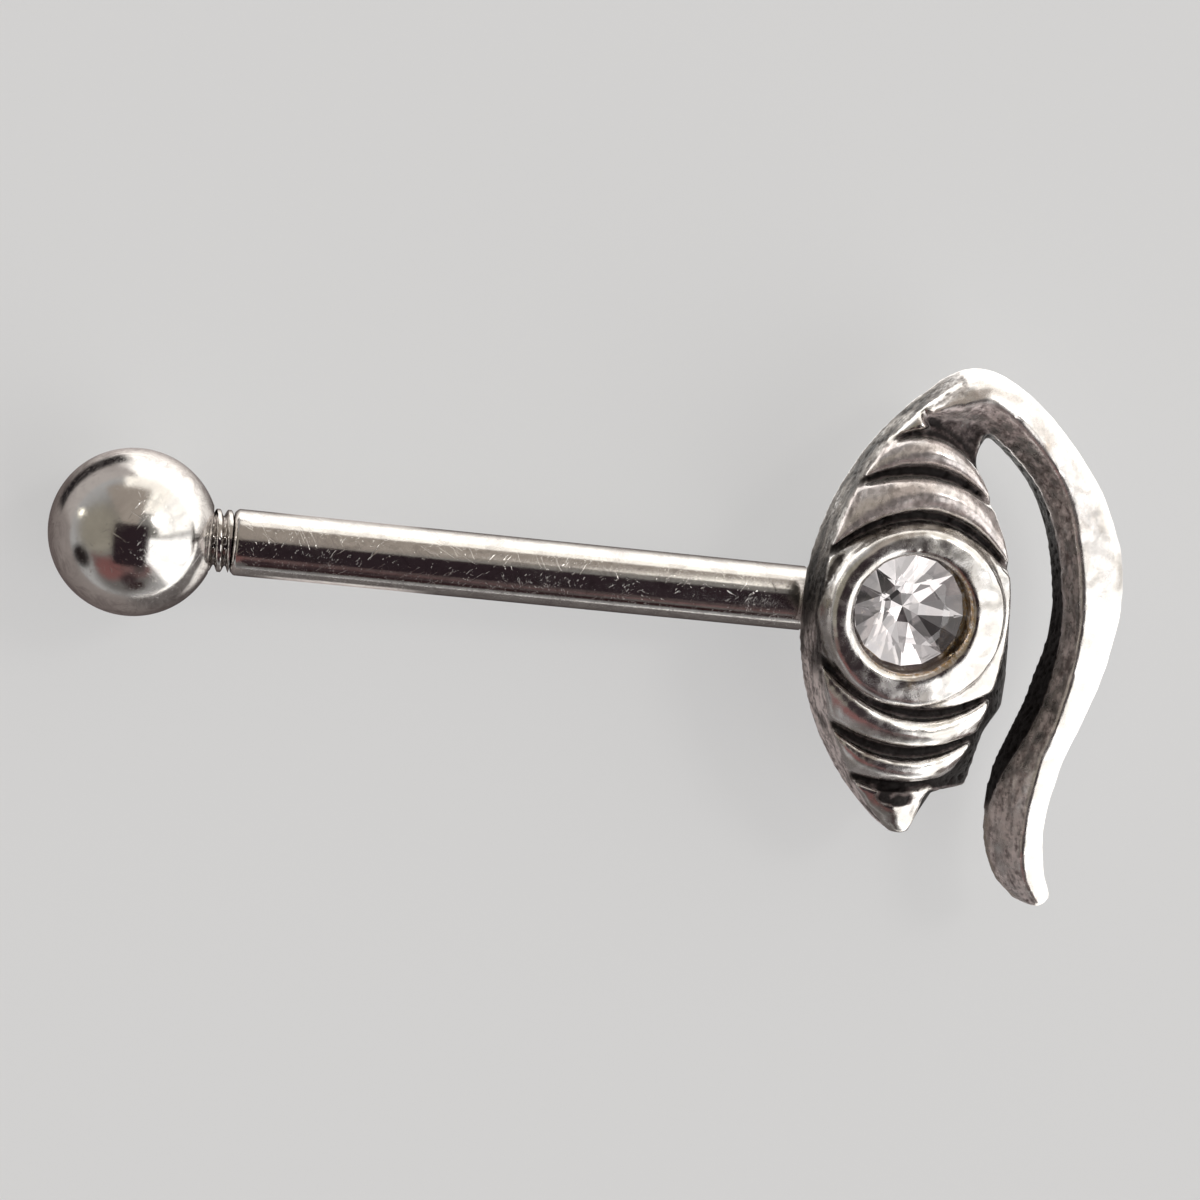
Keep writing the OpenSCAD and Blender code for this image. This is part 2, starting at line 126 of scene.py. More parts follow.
# at the same stations, as shares: its height, the crest's place across, and the dark inner wall's top
# across and up
BROW_REL = [0.98, 1.00, 1.04, 1.04, 1.02, 1, 1, 1, 1, 1, 0.98, 0.96, 0.94, 0.92, 0.90, 0.88, 0.84, 0.80,
            0.74, 0.66]
CREST_AT = [0.47, 0.47, 0.47, 0.44, 0.39, 0.34, 0.25, 0.18, 0.16, 0.16, 0.20, 0.28, 0.34, 0.39, 0.46, 0.48,
            0.46, 0.44, 0.44, 0.44]
WALL_IN = [0.02, 0.02, 0.02, 0.02, 0.02, 0.02, 0.02, 0.02, 0.02, 0.03, 0.06, 0.12, 0.14, 0.12, 0.07, 0.02,
           0.02, 0.02, 0.02, 0.02]
WALL_UP = [0.5, 0.5, 0.5, 0.5, 0.5, 0.5, 0.5, 0.5, 0.5, 0.52, 0.55, 0.60, 0.60, 0.58, 0.48, 0.34, 0.24, 0.20,
           0.20, 0.20]
# points of its section, as shares across and up: on that wall, up to the crest, and down the outer side
SECTION_WALL = (0.75, 0.8)
SECTION_IN = [(0.45, 0.50), (0.88, 0.93)]
SECTION_OUT = [(0.04, 1.00), (0.28, 0.96), (0.53, 0.89), (0.78, 0.77), (0.94, 0.60), (1.00, 0.41), (0.95, 0)]
# the rounded end reaches out by this share of its half width and drops to this share of its height
END_REACH, END_LOW = 0.5, 0.45
END_TURNS = [12, 25, 37, 48, 58, 68, 76, 82]
SECTION_LAST = 2 + len(SECTION_IN) + len(SECTION_OUT)

# How finely the shapes are drawn: rows and points of the lofts, voxels of the head in mm, corners of a circle
EYE_ROWS, EYE_POINTS, WALL_POINTS, BROW_ROWS, BROW_POINTS = 300, 90, 8, 160, 56
VOXEL = 0.043
TOOL_CORNERS, BORE_CORNERS, BAR_CORNERS, BALL_CORNERS = 120, 64, 128, 160
TURN_ROWS, BAR_ROWS, BALL_ROWS, BALL_POLE = 14, 40, 110, 0.004
# a turned profile ends at this radius, just beside its axis, and tools for cutting reach this high
AXIS_R, TOOL_TOP = 0.02, 3

# The head's modelling frame has u along the bar, v up the eye and w out of its face. In the row frame
# it is tilted, since the part lies on its ball and on its boss.
REACH, RISE = BOSS_U1 - BALL_U, BOSS_H + BAR_W
TILT = math.asin(BALL_R / math.hypot(REACH, RISE)) - math.atan2(RISE, REACH)
TURN = np.array(Matrix.Rotation(TILT, 3, "Y"))
lo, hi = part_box("ball")
BALL_AT = np.array([lo[0] + BALL_R * MM, (lo[1] + hi[1]) / 2, (lo[2] + hi[2]) / 2])
SHIFT = BALL_AT - TURN @ np.array([BALL_U, 0, BAR_W]) * MM


def place(points):
    """Points of the modelling frame in mm (u, v, w) to the row frame in metres."""
    return np.asarray(points, float) @ TURN.T * MM + SHIFT


# Small tools
def ramp(x):
    return np.clip(x, 0, 1)


def smooth(x):
    """Soft step; smooth((x - start) / width) fades in from start over width."""
    x = ramp(x)
    return x * x * (3 - 2 * x)


def along(values, x):
    """Smooth curve through the values of a list, at position x counted in list steps."""
    v = np.asarray(values, float)
    n = len(v) - 1
    x = np.asarray(x, float)
    i = np.clip(np.floor(x).astype(int), 0, n - 1)
    f = x - i
    if v.ndim > 1:
        f = f[..., None]
    p0, p1, p2, p3 = v[np.maximum(i - 1, 0)], v[i], v[i + 1], v[np.minimum(i + 2, n)]
    return 0.5 * (2 * p1 + (p2 - p0) * f + (2 * p0 - 5 * p1 + 4 * p2 - p3) * f ** 2
                  + (3 * p1 - p0 - 3 * p2 + p3) * f ** 3)


def at_t(values, t):
    return along(values, (t - T_LOW) / T_STEP)


def grid_faces(rows, cols):
    """Quads of a grid of rows by cols points, closed round its columns."""
    j, i = np.meshgrid(np.arange(rows - 1), np.arange(cols), indexing="ij")
    a = j * cols + i
    b = j * cols + (i + 1) % cols
    return np.stack([a, b, b + cols, a + cols], -1).reshape(-1, 4).tolist()


def turned_faces(rows, cols):
    """Those quads and a flat at each end."""
    return grid_faces(rows, cols) + [list(range(cols)), [(rows - 1) * cols + i for i in range(cols)]]


def make_mesh(name, points, faces, material=None):
    mesh = bpy.data.meshes.new(name)
    mesh.from_pydata([tuple(p) for p in points], [], [tuple(f) for f in faces])
    bm = bmesh.new()
    bm.from_mesh(mesh)
    bmesh.ops.recalc_face_normals(bm, faces=bm.faces)
    bm.to_mesh(mesh)
    bm.free()
    piece = bpy.data.objects.new(name, mesh)
    bpy.context.scene.collection.objects.link(piece)
    if material:
        mesh.materials.append(material)
    return piece


def shade(piece, angle=None):
    mesh = piece.data
    mesh.polygons.foreach_set("use_smooth", [True] * len(mesh.polygons))
    if angle is not None:
        mesh.set_sharp_from_angle(angle=math.radians(angle))
    mesh.update()


# Cast head
def foot_l(t):
    return ARC_C[0] - np.sqrt(ARC_R ** 2 - (t - ARC_C[1]) ** 2)


def rim_l(t):
    return foot_l(t) + WALL_SLOPE * at_t(SLOPE_REL, t)


def half_w(g):
    return GROOVE_W * max(g[1], g[2]) / 2


def dip(t, q, g):
    """A groove's share of its depth at height t; q runs from 0 at the sides to 1 in the middle."""
    return np.maximum(0, 1 - ((t - g[0]) / (GROOVE_W * (g[1] + (g[2] - g[1]) * q) / 2)) ** 4)


def dips(t, q):
    return np.max([dip(t, q, g) for g in GROOVES], axis=0)


EDGES = [T_LOW - BAND_PAST[0]] + [e for g in GROOVES for e in (g[0] - half_w(g), g[0] + half_w(g))]
EDGES += [T_TOP + BAND_PAST[1]]


def band(t):
    """Swell of the bands, which lie between the edges of the grooves."""
    return np.max([np.maximum(0, 1 - ((2 * t - a - b) / (b - a)) ** 2)
                   for a, b in zip(EDGES[::2], EDGES[1::2])], axis=0)


def hollow(t, s):
    left = np.maximum(HOLLOW_LEAST, HOLLOW_S - HOLLOW_LEAN * (t - HOLLOW_T))
    return ramp((s - left) / HOLLOW_SOFT[0]) * ramp((t - HOLLOW_T) / HOLLOW_SOFT[1])


def face_h(t, s):
    """Height of the face at height t and share s across it."""
    q = 1 - (2 * s - 1) ** 2
    e = ramp(np.minimum(s, 1 - s) / SIDE_SHARE)
    h = WALL_H * at_t(RIM_REL, t) + DOME_H * at_t(CROWN_REL, t) * q
    side = SIDE_DEPTH + (1 - SIDE_DEPTH) * e
    h = h + BAND_H * band(t) * (BAND_SIDE + (1 - BAND_SIDE) * q) - GROOVE_H * dips(t, q) * side
    return np.maximum(LEAST_H, h - HOLLOW_H * hollow(t, s) * side)


def eye_loft():
    """Rows of the eye, and for each point its groove share, its side and how far along and across it lies.

    The side is 0 on the face, 1 on the left wall and 2 on the right wall; across runs from 0 to 1 over the
    face from left to right, and up a wall from its foot to its rim.
    """
    t = np.linspace(T_TIP, T_TOP, EYE_ROWS)[:, None]
    s = np.linspace(0, 1, EYE_POINTS)[None, :]
    q = 1 - (2 * s - 1) ** 2
    v_end = t - at_t(ROW_DROP, t)
    left, right = rim_l(t), at_t(RIGHT_RIM, v_end)
    u = left + (right - left) * s
    v = t + (v_end - t) * s + at_t(ROW_BOW, t) * q
    top = np.stack([u, v, face_h(t, s)], -1)
    foot = np.array(RIGHT_FOOT)
    low_l = np.stack([foot_l(t), t, 0 * t], -1)
    low_r = np.stack([np.interp(v_end, foot[:, 0], foot[:, 1]), v_end, 0 * t], -1)
    k = np.linspace(0, 1, WALL_POINTS + 1)[None, :-1, None]
    wall_l = low_l + (top[:, :1] - low_l) * k
    wall_r = (low_r + (top[:, -1:] - low_r) * k)[:, ::-1]
    rows = np.concatenate([wall_l, top, wall_r], 1)
    groove = np.maximum(dips(t, q) + 0 * s, hollow(t, s))
    up = np.broadcast_to(k[:, :, 0], (len(t), k.shape[1]))
    grooves = np.concatenate([0 * up, groove, 0 * up], 1)
    side = np.concatenate([0 * up + 1, 0 * groove, 0 * up + 2], 1)
    across = np.concatenate([up, s + 0 * groove, up[:, ::-1]], 1)
    return rows, grooves, side, np.broadcast_to(t, side.shape), across


def loft_faces(rows):
    n, m = rows.shape[:2]
    return grid_faces(n, m) + [list(range(m))[::-1], [(n - 1) * m + i for i in range(m)]]


def brow_section(x):
    """Points round the brow's section at station x: inner foot, dark wall, facet, crest and outer side."""
    crest, wall, up = (float(along(values, x)) for values in (CREST_AT, WALL_IN, WALL_UP))
    facet = [(wall + (crest - wall) * s, up + (1 - up) * h) for s, h in SECTION_IN]
    outer = [(crest + (1 - crest) * s, h) for s, h in SECTION_OUT]
    return [(0, 0), (SECTION_WALL[0] * wall, SECTION_WALL[1] * up), (wall, up)] + facet + outer


def brow_row(x, fine):
    a, b = along(BROW_IN, x), along(BROW_OUT, x)
    h = BROW_H * along(BROW_REL, x)
    q = along(brow_section(x), fine)
    p = a + (b - a) * q[:, :1]
    return np.concatenate([p, h * np.maximum(q[:, 1:], 0)], 1)


def brow_loft():
    """Rows of the brow, and for each point its place round the section and its station along the brow."""
    fine = np.linspace(0, SECTION_LAST, BROW_POINTS)
    last = len(BROW_IN) - 1
    rows = [brow_row(np.array(x), fine) for x in np.linspace(0, last, BROW_ROWS)]
    end_a, end_b = np.array(BROW_IN[-1]), np.array(BROW_OUT[-1])
    mid, span = (end_a + end_b) / 2, end_b - end_a
    width = np.hypot(*span)
    away = np.array([span[1], -span[0]]) / width
    base = rows[-1]
    for g in np.radians(END_TURNS):
        m = mid + (base[:, :2] - mid) * math.cos(g) + away * END_REACH * width / 2 * math.sin(g)
        rows.append(np.concatenate([m, base[:, 2:] * (END_LOW + (1 - END_LOW) * math.cos(g))], 1))
    rows = np.array(rows)
    station = np.minimum(np.arange(len(rows)) * last / (BROW_ROWS - 1), last)
    return rows, np.broadcast_to(fine, rows.shape[:2]), np.broadcast_to(station[:, None], rows.shape[:2])


def turned(profile, centre, n=TOOL_CORNERS):
    """Closed solid of revolution about w; the profile's ends lie beside the axis."""
    a = np.linspace(0, 2 * math.pi, n, endpoint=False)
    body = [[(centre[0] + r * math.cos(g), centre[1] + r * math.sin(g), z) for g in a] for r, z in profile]
    return np.array(body).reshape(-1, 3), turned_faces(len(profile), n)


def cylinder(r, low, high, centre, n=TOOL_CORNERS):
    return turned([(AXIS_R, low), (r, low), (r, high), (AXIS_R, high)], centre, n)


def ring_profile():
    r = RING_D / 2
    a, b = RING_ROUND
    top = RING_H - CREST_FALL
    arc = [(r - a + a * math.cos(g), top - b + b * math.sin(g)) for g in np.radians(range(0, 81, 5))]
    return [(AXIS_R, RING_W0), (r - RING_LEAN, RING_W0)] + arc + [(CREST_R, RING_H), (AXIS_R, RING_H)]


def lip_cone():
    """Cone that bevels the opening's edge."""
    width, depth = LIP
    inner, outer = OPENING_D / 2 - width, OPENING_D / 2 + 3 * width
    low, high = RING_H - 2 * depth, RING_H + 2 * depth
    return turned([(AXIS_R, low), (inner, low), (outer, high), (AXIS_R, high)], LIP_C)


def boss_loft():
    r, half = BOSS_ROUND, BOSS_W / 2
    arc = [math.radians(a) for a in range(0, 91, 15)]
    side = [(half - r + r * math.cos(a), -BOSS_H + r - r * math.sin(a)) for a in arc]
    outline = [(half, BOSS_IN)] + side + [(-x, y) for x, y in side[::-1]] + [(-half, BOSS_IN)]
    rows = np.array([[(u, v, w) for v, w in outline] for u in (BOSS_U0, BOSS_U1)])
    return rows.reshape(-1, 3), loft_faces(rows)


def along_bar(points):
    """Points (radial a, radial b, axial) to the modelling frame."""
    p = np.asarray(points, float)
    return np.stack([p[:, 2], p[:, 1], BAR_W - p[:, 0]], -1)


def joined(parts):
    points, faces, n = [], [], 0
    for p, f in parts:
        points.append(np.asarray(p).reshape(-1, 3))
        faces += [[i + n for i in face] for face in f]
        n += len(points[-1])
    return np.concatenate(points), faces


def apply_modifiers(piece):
    graph = bpy.context.evaluated_depsgraph_get()
    mesh = bpy.data.meshes.new_from_object(piece.evaluated_get(graph), depsgraph=graph)
    piece.modifiers.clear()
    piece.data = mesh


def remesh(piece):
    """Gives a piece one closed skin of even voxels."""
    mod = piece.modifiers.new("skin", "REMESH")
    mod.mode = "VOXEL"
    mod.voxel_size = VOXEL
    apply_modifiers(piece)


def cut(piece, points, faces):
    """Takes a solid away from a piece."""
    tool = make_mesh("cutter", points, faces)
    mod = piece.modifiers.new("cut", "BOOLEAN")
    mod.operation = "DIFFERENCE"
    mod.solver = "EXACT"
    mod.object = tool
    apply_modifiers(piece)
    bpy.data.objects.remove(tool)


def vectors(items, name):
    out = np.empty(len(items) * 3)
    items.foreach_get(name, out)
    return out.reshape(-1, 3)


class Smoother:
    """Averages values over a mesh's edges."""

    def __init__(self, mesh):
        e = np.empty(len(mesh.edges) * 2, int)
        mesh.edges.foreach_get("vertices", e)
        self.e = e.reshape(-1, 2)
        self.n = len(mesh.vertices)
        self.count = np.bincount(self.e.ravel(), minlength=self.n).astype(float)

    def run(self, values, times, share=1.0):
        v = np.asarray(values, float)
        flat = v.reshape(self.n, -1)
        a, b = self.e.T
        for _ in range(times):
            total = np.stack([np.bincount(a, flat[b, k], self.n) + np.bincount(b, flat[a, k], self.n)
                              for k in range(flat.shape[1])], -1)
            flat = flat + share * (total / self.count[:, None] - flat)
        return flat.reshape(v.shape)


def noise_at(points, scale, seed, octaves):
    out = np.empty(len(points))
    for i, p in enumerate(points * scale):
        v = Vector((p[0] + seed, p[1] - seed, p[2] + 2 * seed))
        out[i] = noise.fractal(v, 1.0, 2.0, octaves)
    return out


def bump_at(x, centre, width):
    return np.exp(-((x - centre) / width) ** 2)


def nearest(marks, points):
    """For each point the index of the nearest mark."""
    tree = kdtree.KDTree(len(marks))
    for i, m in enumerate(marks):
        tree.insert(m, i)
    tree.balance()
    return np.array([tree.find(q)[1] for q in points])


# The head's paint: shares from 0 to 1 at each point of its skin. They start and end at heights t of the
# eye's rows and shares across them, and at the brow's stations and places round its section.
BESIDE_RING = 0.085
ROOT_END, ROOT_SOFT = 1.46, 0.12
# a point that stands out or lies in by this much in mm is a full ridge or hollow
FULL_RIDGE = 0.03
# smoothing of the voxel skin by turns inward and outward, and depths in mm of its pits and unevenness
EVEN_ROUNDS, EVEN_IN, EVEN_OUT = 5, 0.6, -0.55
PIT_DEPTH, SLOW_DEPTH, WORKED_DEPTH, TIP_DEPTH = 0.05, 0.012, 0.008, 0.014


def eye_oxide(groove, side, t, across, on_top, streak, mottle):
    """Oxide on the eye: black in its grooves and on its right side, dull and streaked on its left side."""
    # dark lines along the upper left rim and beside the ring, and dark right ends of the top rows
    rim_line = 0.72 * smooth((0.07 - across) / 0.03) * smooth((t - 0.9) / 0.3) * smooth((3.3 - t) / 0.2)
    beside_ring = 0.80 * smooth((BESIDE_RING - across) / 0.02) * smooth((1.5 - np.abs(t - 0.1)) / 0.4)
    right_end = 0.85 * smooth((across - 0.90) / 0.06) * smooth((t - 2.5) / 0.2)
    # the hollow beside the brow's root is mottled, and a rough notch crosses the tip
    root = smooth((t - 3.36) / 0.08) * smooth((across - 0.2) / 0.1)
    mottled = groove * (0.25 + 0.75 * on_top) * (1 - root * np.clip(0.26 - 0.35 * mottle, 0.05, 0.38))
    notch = smooth((t + 3.44) / 0.10) * smooth((-2.95 - t) / 0.10) * bump_at(across, 0.52, 0.30)
    face = np.max([mottled, rim_line, beside_ring, right_end, (1.7 + 1.2 * mottle) * notch], axis=0)
    # the left wall is darkest beside the ring and a little worn toward its rim
    left = 0.76 + 0.14 * bump_at(t, 0.1, 0.7) - 0.10 * smooth((-0.7 - t) / 0.4) + 0.34 * streak
    left = left * (1 - 0.25 * smooth((across - 0.85) / 0.12))
    return np.select([side > 1.5, side > 0.5], [1.1, left], face)


def brow_oxide(section, at, mottle):
    """Oxide on the brow: black inner wall, dull mottled facet above it, dull outer side at its root."""
    low_end, tip = ramp((at - 10) / 4), smooth((at - 14.6) / 1.2)
    wall = (1.15 - 1.0 * tip) * smooth((1.9 - section) / 0.25)
    facet = smooth((4.35 - section) / 0.3) * smooth((section - 1.9) / 0.3)
    dull = 0.36 - 0.05 * low_end - 0.04 * smooth((3 - at) / 2) + 0.24 * tip * smooth((section - 2.6) / 0.5)
    facet = (dull + 0.50 * mottle) * facet * (1 - 0.75 * bump_at(section, 2.1, 0.22))
    crease = 0.8 * bump_at(section, 8.3, 0.5) * smooth((1.35 - at) / 0.1)
    root = np.maximum(0.55 * smooth((section - 5.7) / 0.4), crease) * smooth((ROOT_END - at) / ROOT_SOFT)
    # a dull band beside the crest at the bend, a fine crack along the outer side, and the side's dull foot
    bend = smooth((at - 1.3) / 0.4) * smooth((3.9 - at) / 0.8)
    beside_crest = (0.30 + 0.25 * mottle) * bump_at(section, 5.4, 0.55) * bend
    crack = 0.34 * bump_at(section, 7.4 + 0.3 * np.sin(2.3 * at), 0.22) * bump_at(at, 5.4, 1.2)
    back = 0.5 * smooth((section - 9.9) / 0.8)
    return np.max([wall, facet, root, beside_crest, crack, back], axis=0)


def eye_satin(groove, side, t):
    """Satin where the eye was never polished: its upper bands, and its left wall below the middle."""
    upper = 0.50 * smooth((t - 1.2) / 0.2) * smooth((3.2 - t) / 0.1) * (1 - groove)
    return np.where(side == 0, upper, 0.95 * (side == 1) * smooth((0.2 - t) / 0.8))


def brow_satin(section, at, streak, mottle):
    """Satin on the brow: all of its facet, and a trace on its outer side toward the root."""
    facet = smooth((4.5 - section) / 0.4) * smooth((section - 1.8) / 0.3)
    facet = facet * (0.74 + 0.9 * mottle + 0.4 * streak)
    return np.maximum(facet, 0.16 * smooth((section - 5) / 0.5) * smooth((9 - at) / 3))


def paint_head(p, nrm, even, eye, brow):
    """Oxide with some painted shade, tarnish, brushed flank and satin: for each point of the skin a share of
    each.
    """
    eye_rows, brow_rows = eye[0].reshape(-1, 3), brow[0].reshape(-1, 3)
    split = len(eye_rows)
    near = nearest(np.concatenate([eye_rows, brow_rows]), p)
    on_brow = near >= split
    e, b = np.minimum(near, split - 1), np.maximum(near - split, 0)
    groove, side, t, across = (values.ravel()[e] for values in eye[1:])
    section, at = (values.ravel()[b] for values in brow[1:])

    hollowness = np.einsum("ij,ij->i", even.run(p, 10) - p, nrm)
    cavity, ridge = smooth(hollowness / FULL_RIDGE), smooth(-hollowness / FULL_RIDGE)
    on_top = smooth((nrm[:, 2] - 0.25) / 0.4)
    streak = noise_at(p * (1.0, 0.3, 1.0), scale=2.6, seed=5.2, octaves=3)
    mottle = noise_at(p, scale=6.5, seed=2.4, octaves=4)

    of_eye = eye_oxide(groove, side, t, across, on_top, streak, mottle)
    oxide_and_shade = np.where(on_brow, brow_oxide(section, at, mottle), of_eye)
    root = smooth((ROOT_END - at) / ROOT_SOFT) * smooth((section - 5.5) / 0.4)
    flank = np.where(on_brow, root, (side == 1) | (across < BESIDE_RING) & (side == 0))
    satin = np.where(on_brow, brow_satin(section, at, streak, mottle), eye_satin(groove, side, t))

    # the ring stays bright, with a little oxide at its foot
    ring_r = np.hypot(p[:, 0] - RING_C[0], p[:, 1] - RING_C[1])
    on_ring = (ring_r < RING_D / 2 + 0.02) & (p[:, 2] > 1.0)
    oxide_and_shade = np.where(on_ring, 0.06 + 0.30 * smooth((ring_r - RING_D / 2 + 0.13) / 0.12), oxide_and_shade)
    oxide_and_shade = np.maximum(oxide_and_shade, cavity * np.where(on_ring, 0.5, 1.0))
    oxide_and_shade = np.where(nrm[:, 2] < -0.3, 0.5, oxide_and_shade)

    # its opening is tarnished golden at the right and below; its wall darkens toward the bottom and the ledge
    # under the stone is dark brown, partly oxide and partly painted shade under the stone
    from_c = p[:, :2] - OPENING_C
    open_r = np.hypot(*from_c.T)
    low_right = smooth((from_c[:, 0] - 0.9 * from_c[:, 1] + 0.6) / 0.9)
    inside = (open_r < OPENING_D / 2 + 0.03) & (p[:, 2] > 0.3)
    ledge = inside & (open_r < OPENING_D / 2 - 0.05)
    # the wall darkens toward its bottom: painted shade under the stone
    wall = 0.62 - 0.50 * low_right + 0.45 * smooth((-0.62 - from_c[:, 1]) / 0.25)
    oxide_and_shade = np.where(inside, wall, oxide_and_shade)
    # painted shade: the ledge under the stone is darkened beyond its brown oxide
    oxide_and_shade = np.where(ledge, 0.70, oxide_and_shade)
    tarnish = np.where(inside, 0.15 + 0.85 * low_right, 0)
    lip = on_ring & ~inside & (open_r < OPENING_D / 2 + 0.09)
    tarnish = np.where(lip, 0.55 * low_right * (0.3 + 0.7 * smooth((from_c[:, 0] - 0.2) / 0.6)), tarnish)

    # a golden spot on the ring, speckles at the brow's bend and a golden end of its inner wall
    spot = bump_at(from_c[:, 0], 0.12, 0.06) * bump_at(from_c[:, 1], -1.22, 0.07) * on_ring
    speckle = 0.7 * on_brow * bump_at(section, 5.2, 1.0) * bump_at(at, 3.6, 0.5) * smooth(streak * 3)
    end_band = 0.5 * on_brow * smooth((2.6 - section) / 0.5) * smooth((at - 14.8) / 1.0)
    tarnish = np.max([tarnish, spot, speckle, end_band], axis=0)

    # the oxide is worn off the ridges, less so where a rim borders a dark wall
    oxide_and_shade = even.run(np.maximum(oxide_and_shade, 0.5 * spot), 2)
    rim = (~on_brow) & (side == 1) | on_brow & (section < 1.7)
    oxide_and_shade = ramp(oxide_and_shade - np.where(rim, 0.25, 0.55) * ridge)
    return {"patina_and_shade": oxide_and_shade, "tarnish": even.run(tarnish, 1), "flank": even.run(flank.astype(float), 1),
            "satin": even.run(ramp(satin * (1 - on_ring)), 2)}


def make_head(material):
    eye, brow = eye_loft(), brow_loft()
    parts = [(eye[0], loft_faces(eye[0])), (brow[0], loft_faces(brow[0]))]
    parts += [turned(ring_profile(), RING_C), boss_loft()]
    head = make_mesh("cast_head_silver", *joined(parts))
    remesh(head)

    # the ring's opening, its lip, the seat under the stone and the bar's bore
    cut(head, *cylinder(OPENING_D / 2, GIRDLE_W - OPENING_GAP, TOOL_TOP, OPENING_C))
    cut(head, *lip_cone())
    cut(head, *cylinder(SEAT_R, GIRDLE_W - PAVILION_H - SEAT_GAP, TOOL_TOP, STONE_C))
    bore, faces = cylinder(POST_R + SEAT_PLAY, BOSS_U0 - BORE_OUT, POST_U + BORE_END, (0, 0), BORE_CORNERS)
    cut(head, along_bar(bore), faces)
    remesh(head)
    mesh = head.data

    # even out the steps of the voxels without shrinking the head, then soften it a little
    p = vectors(mesh.vertices, "co")
    even = Smoother(mesh)
    for _ in range(EVEN_ROUNDS):
        p = even.run(p, 1, EVEN_IN)
        p = even.run(p, 1, EVEN_OUT)
    p = even.run(p, 2, 0.5)
    mesh.vertices.foreach_set("co", p.ravel())
    mesh.update()

    nrm = vectors(mesh.vertex_normals, "vector")
    paint = paint_head(p, nrm, even, eye, brow)
    patina_and_shade = paint["patina_and_shade"]

    # small cast pits under the oxide, and a slight unevenness elsewhere, more of it at the eye's tip
    rough = noise_at(p, scale=9.0, seed=3.1, octaves=3)
    slow = noise_at(p, scale=1.6, seed=7.7, octaves=2)
    at_tip = smooth((-2.9 - p[:, 1]) / 0.3) * (p[:, 0] < 2.2)
    worked = noise_at(p, scale=3.4, seed=1.3, octaves=2) * (WORKED_DEPTH + TIP_DEPTH * at_tip)
    depth = np.minimum(0, rough) * PIT_DEPTH * patina_and_shade + (slow * SLOW_DEPTH + worked) * (1 - patina_and_shade)
    above_back = smooth((p[:, 2] - 0.05) / 0.1)
    p = p + nrm * (depth * above_back)[:, None]
    mesh.vertices.foreach_set("co", place(p).ravel())
    for name, values in paint.items():
        layer = mesh.attributes.new(name, "FLOAT", "POINT")
        layer.data.foreach_set("value", values.astype(np.float32))
    mesh.materials.clear()
    mesh.materials.append(material)
    shade(head)
    return head


# Bar and ball
def lathe(name, profile, material, n, sharp=35, thread=None):
    """Solid turned about the bar's axis; profile rows are (radius, u), and thread is where it is threaded."""
    a = np.linspace(0, 2 * math.pi, n, endpoint=False)
    rows = []
    for r, u in profile:
        radius = np.full(n, r)
        if thread and thread[0] <= u <= thread[1]:
            f = ((u - thread[0]) / PITCH - a / (2 * math.pi)) % 1.0
            crest = 1 - np.abs(2 * f - 1)
            radius = ROOT_R + (THREAD_R - ROOT_R) * smooth(crest * CREST_FLAT)
        rows.append(along_bar(np.stack([radius * np.cos(a), radius * np.sin(a), np.full(n, u)], -1)))
    piece = make_mesh(name, place(np.concatenate(rows)), turned_faces(len(rows), n), material)
    shade(piece, sharp)
    return piece


def make_bar(material):
    """Threaded end, rounded shoulder, smooth bar and post."""
    thread = (THREAD_U + THREAD_STOP, SHOULDER_U - THREAD_STOP)
    profile = [(AXIS_R, THREAD_U), (ROOT_R - THREAD_LEAD, THREAD_U)]
    profile += [(ROOT_R, u) for u in np.arange(THREAD_U + THREAD_ROW, thread[1], PITCH / TURN_ROWS)]
    profile += [(ROOT_R, SHOULDER_U)]
    profile += [(BAR_R - inset, SHOULDER_U + further) for inset, further in SHOULDER_ROUND]
    profile += [(BAR_R, u) for u in np.linspace(SHOULDER_U + 0.3, STEP_U - 0.2, BAR_ROWS)]
    profile += [(BAR_R, STEP_U), (POST_R, STEP_U), (POST_R, POST_U), (AXIS_R, POST_U)]
    return lathe("bar_steel", profile, material, BAR_CORNERS, thread=thread)


def make_ball(material):
    """Ball with a blind bore that clears the thread."""
    bore = THREAD_R + BALL_PLAY
    mouth = math.asin(bore / BALL_R)
    arc = [(BALL_R * math.sin(g), BALL_U - BALL_R * math.cos(g))
           for g in np.linspace(BALL_POLE, math.pi - mouth, BALL_ROWS)]
    edge = bore + MOUTH_BEVEL
    mouth_u = BALL_U + math.sqrt(BALL_R ** 2 - edge ** 2)
    arc[-1] = (edge, mouth_u)
    floor_u = THREAD_U - BALL_BORE_END
    profile = arc + [(bore, mouth_u - MOUTH_BEVEL), (bore, floor_u), (AXIS_R, floor_u)]
    return lathe("ball_steel", profile, material, BALL_CORNERS)


# Stone: its faces are clear or foiled, and the foiled ones get these shares of painted brightness and glow,
# in place of the light they would throw back
CLEAR, FOILED = 0, 1
FOIL_PAINTED_SPARKLE = (1.0, 0.14, 0.62, 0.04, 0.86, 0.38, 0.26)


